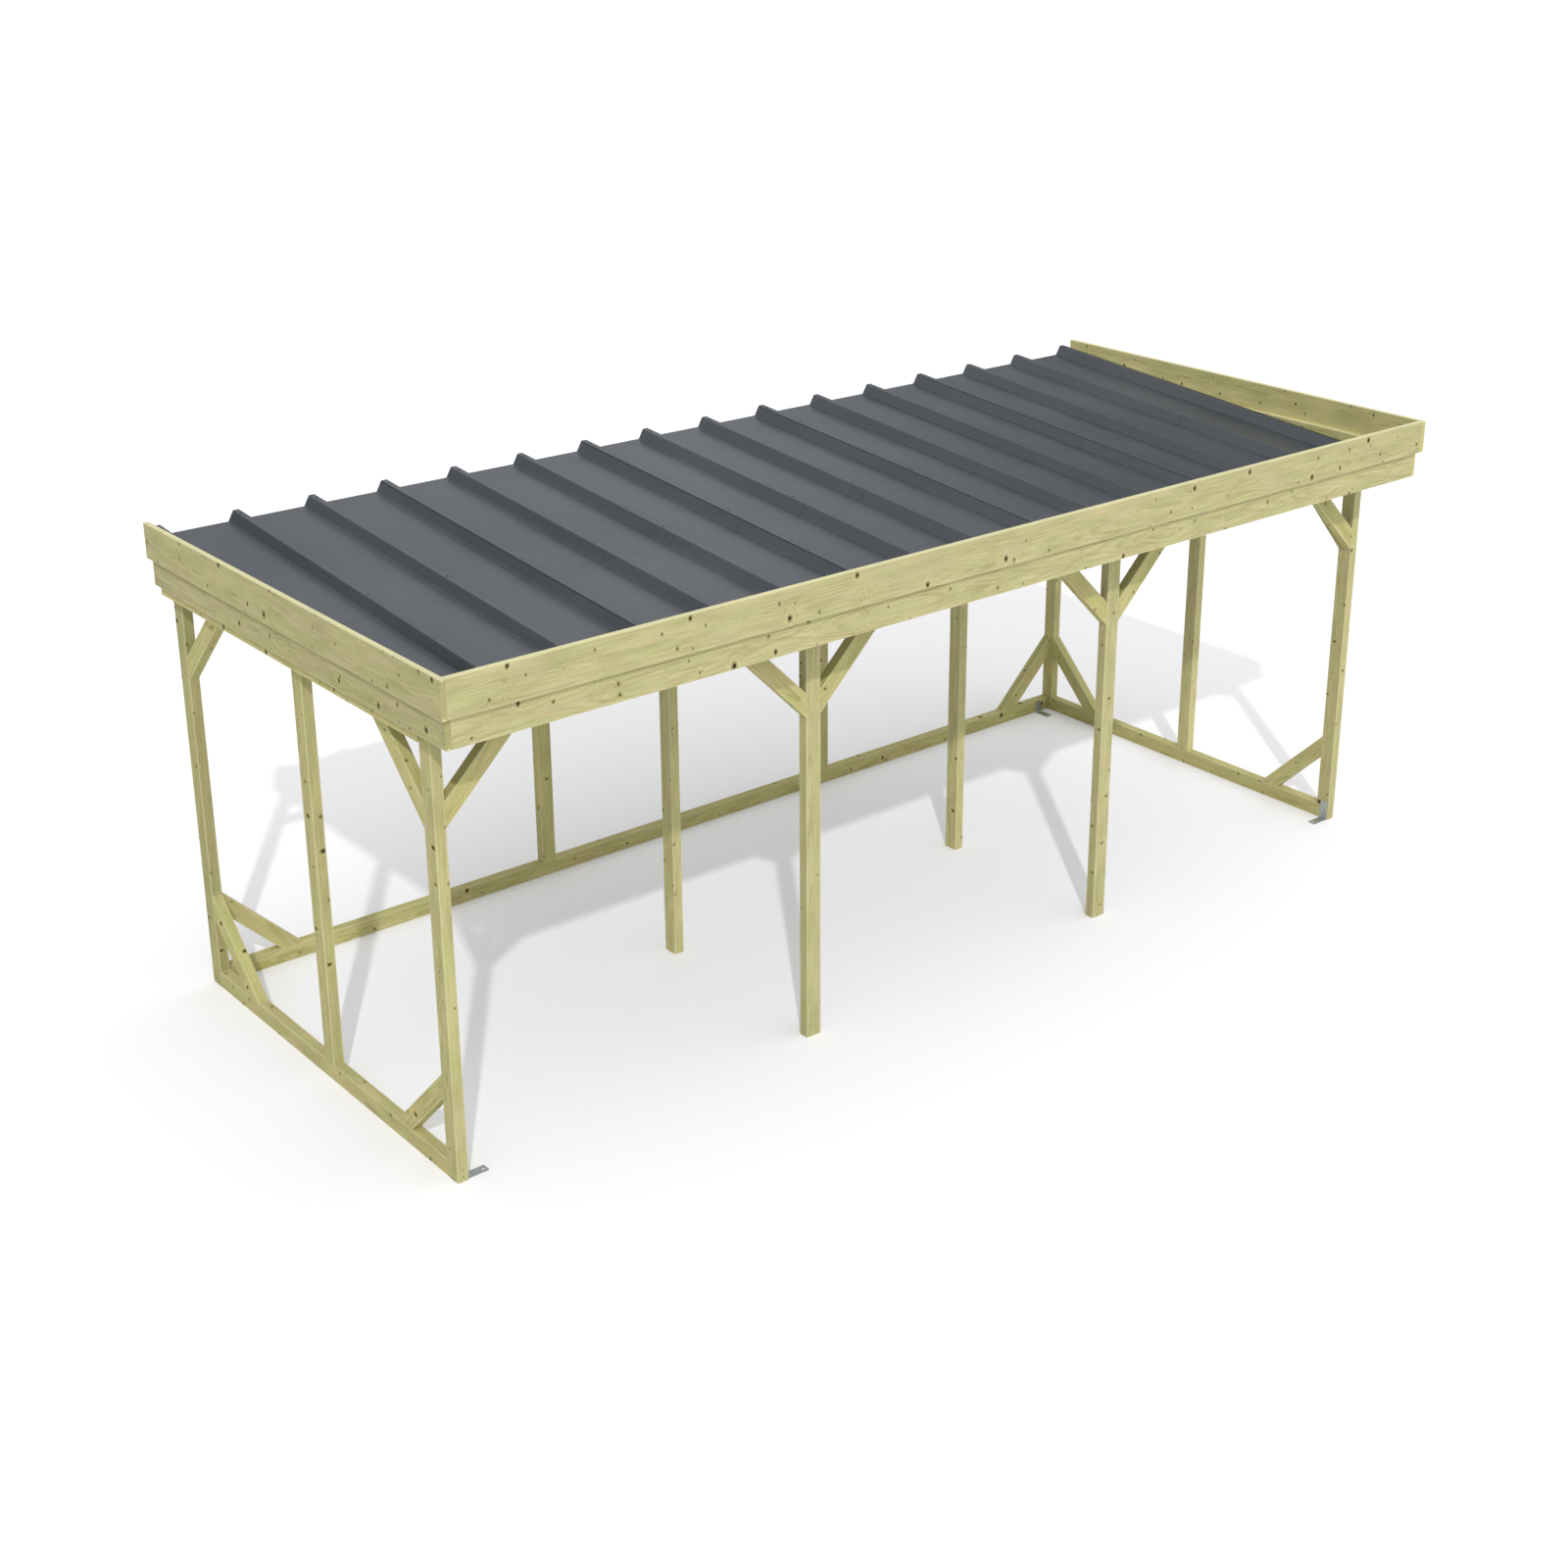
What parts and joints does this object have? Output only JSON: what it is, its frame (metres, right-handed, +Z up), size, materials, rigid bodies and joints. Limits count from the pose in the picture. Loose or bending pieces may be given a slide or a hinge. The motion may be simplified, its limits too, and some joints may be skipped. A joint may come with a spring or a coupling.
{
  "type": "lean-to firewood shelter",
  "caption": "Open timber firewood shelter of equal bays with corner braces, bottom rails, and a ribbed steel roof falling to the front behind a lapped board fascia.",
  "frame": {"origin": "middle of the footprint at floor level, which is the bottom centre of the bounding box", "axes": "+X along the length, +Y from the low open front to the high rear, which is the wall side, +Z up"},
  "size_m": [5.128, 2.24, 2.0298],
  "materials": {
    "frame_timber": "planed, pressure treated pine, matt",
    "fascia_timber": "planed, pressure treated pine, matt",
    "roof_steel": "coated sheet, satin",
    "galvanised_steel": "hot-dip galvanised, dull"
  },
  "bodies": {
    "root": {"beam_left": "frame_timber", "beam_right": "frame_timber", "brace_front_left": "frame_timber", "brace_front_right": "frame_timber", "braces_foot_left": "frame_timber", "braces_foot_rear": "frame_timber", "braces_foot_right": "frame_timber", "braces_front_inner_left": "frame_timber", "braces_front_inner_right": "frame_timber", "braces_top_left": "frame_timber", "braces_top_right": "frame_timber", "bracket_front_left": "galvanised_steel", "bracket_front_right": "galvanised_steel", "bracket_rear_left": "galvanised_steel", "bracket_rear_right": "galvanised_steel", "fascia_arms": "frame_timber", "fascia_lower_front": "fascia_timber", "fascia_lower_left": "fascia_timber", "fascia_lower_right": "fascia_timber", "fascia_upper_front": "fascia_timber", "fascia_upper_left": "fascia_timber", "fascia_upper_right": "fascia_timber", "post_front_inner_left": "frame_timber", "post_front_inner_right": "frame_timber", "post_front_left": "frame_timber", "post_front_right": "frame_timber", "post_middle_inner_left": "frame_timber", "post_middle_inner_right": "frame_timber", "post_middle_left": "frame_timber", "post_middle_right": "frame_timber", "post_rear_inner_left": "frame_timber", "post_rear_inner_right": "frame_timber", "post_rear_left": "frame_timber", "post_rear_right": "frame_timber", "purlin_front": "frame_timber", "purlin_middle": "frame_timber", "purlin_rear": "frame_timber", "rail_left": "frame_timber", "rail_rear": "frame_timber", "rail_right": "frame_timber", "roof_sheet_1": "roof_steel", "roof_sheet_2": "roof_steel", "roof_sheet_3": "roof_steel", "roof_sheet_4": "roof_steel", "roof_sheet_5": "roof_steel"}
  },
  "joints": []
}
